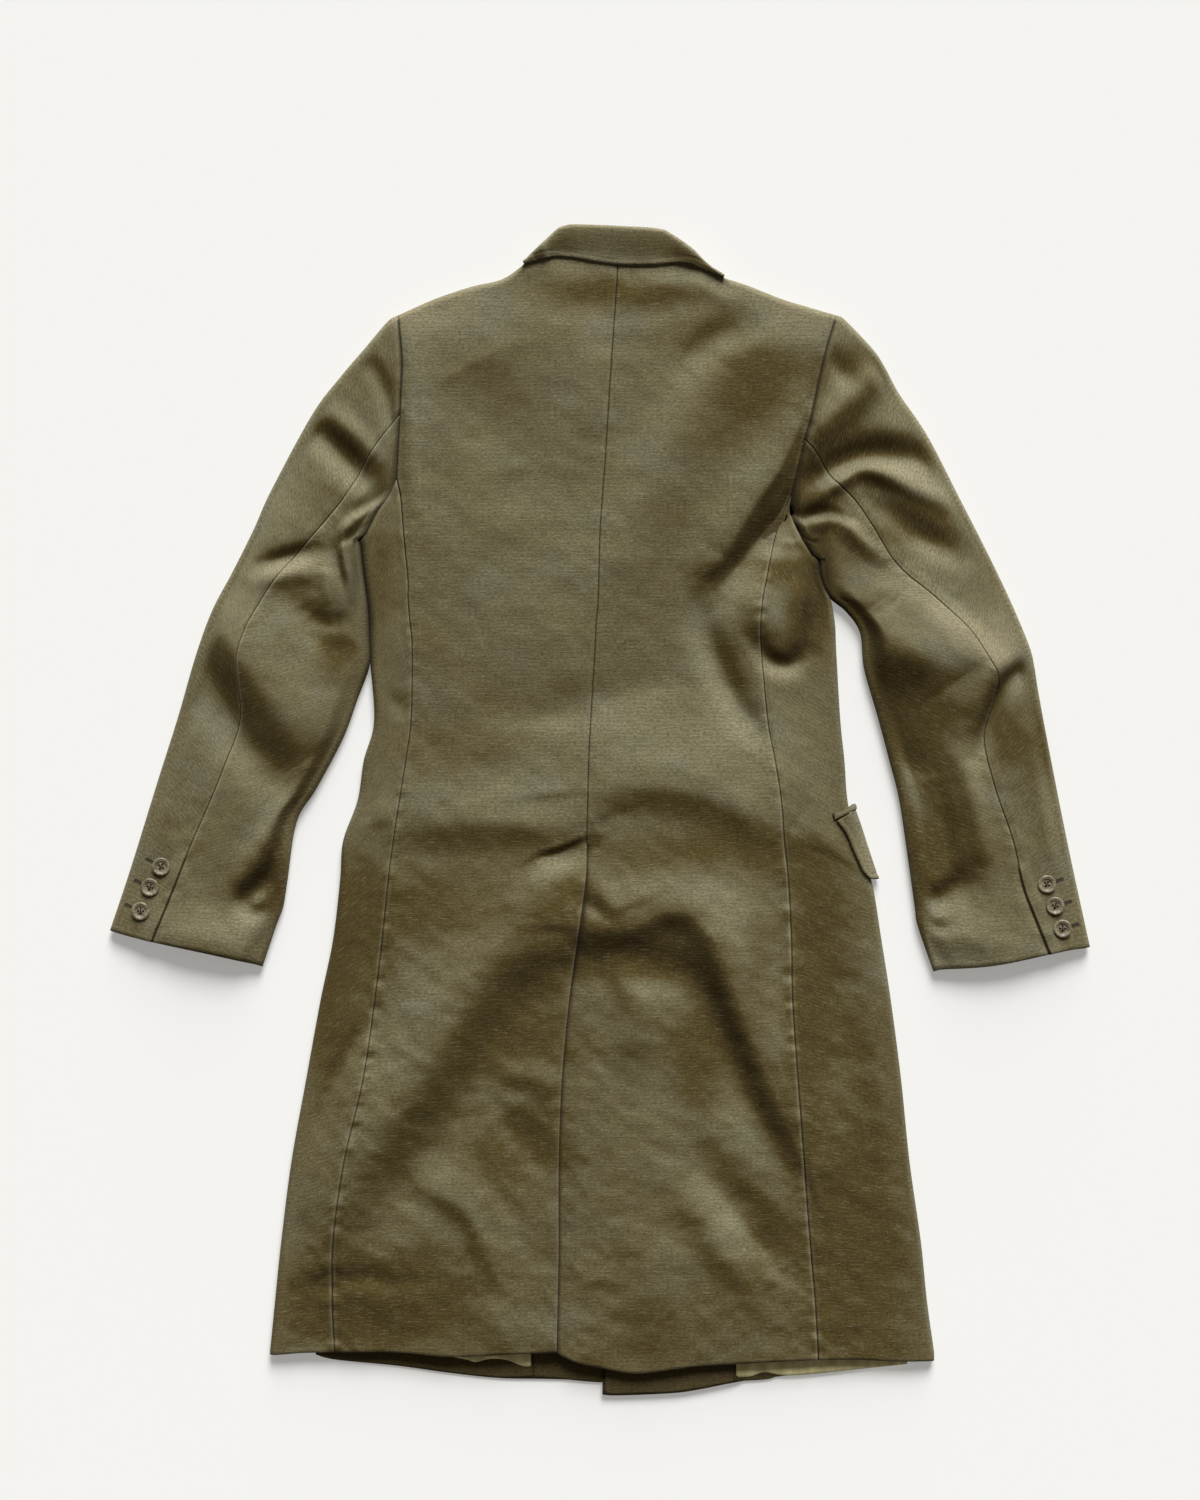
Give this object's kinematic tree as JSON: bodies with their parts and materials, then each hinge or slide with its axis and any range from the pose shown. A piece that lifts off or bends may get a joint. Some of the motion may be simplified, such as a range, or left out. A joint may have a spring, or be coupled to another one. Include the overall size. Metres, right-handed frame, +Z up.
{
  "type": "coat",
  "caption": "Long tailored canvas coat laid flat on its front: princess-seamed back with centre vent, folded collar, curved sleeves with buttoned cuffs, a hip pocket flap and lined hem.",
  "frame": {"origin": "middle of the outline on the surface that the coat lies on", "axes": "+Y from the hem to the collar, +Z up out of the back, +X to the right as seen from above"},
  "size_m": [0.9484, 1.1336, 0.0245],
  "materials": {
    "canvas": "matte ribbed cotton canvas, olive drab",
    "canvas_inside": "matte, dark olive brown",
    "satin": "soft satin lining, pale gold olive",
    "horn": "polished horn-like, grey brown"
  },
  "bodies": {
    "root": {"back_left": "canvas", "back_right": "canvas", "side_left": "canvas", "side_right": "canvas", "front_left": "canvas", "front_right": "canvas", "sleeve_top_left": "canvas", "sleeve_top_right": "canvas", "sleeve_under_left": "canvas", "sleeve_under_right": "canvas", "collar_fall": "canvas", "collar_under": "canvas", "pocket_flap": "canvas", "pocket_jet": "canvas", "facing_left": "canvas_inside", "facing_right": "canvas_inside", "turnup_left": "canvas_inside", "turnup_right": "canvas_inside", "lining_left": "satin", "lining_right": "satin", "button_left_1": "horn", "button_left_2": "horn", "button_left_3": "horn", "button_right_1": "horn", "button_right_2": "horn", "button_right_3": "horn"}
  },
  "joints": []
}
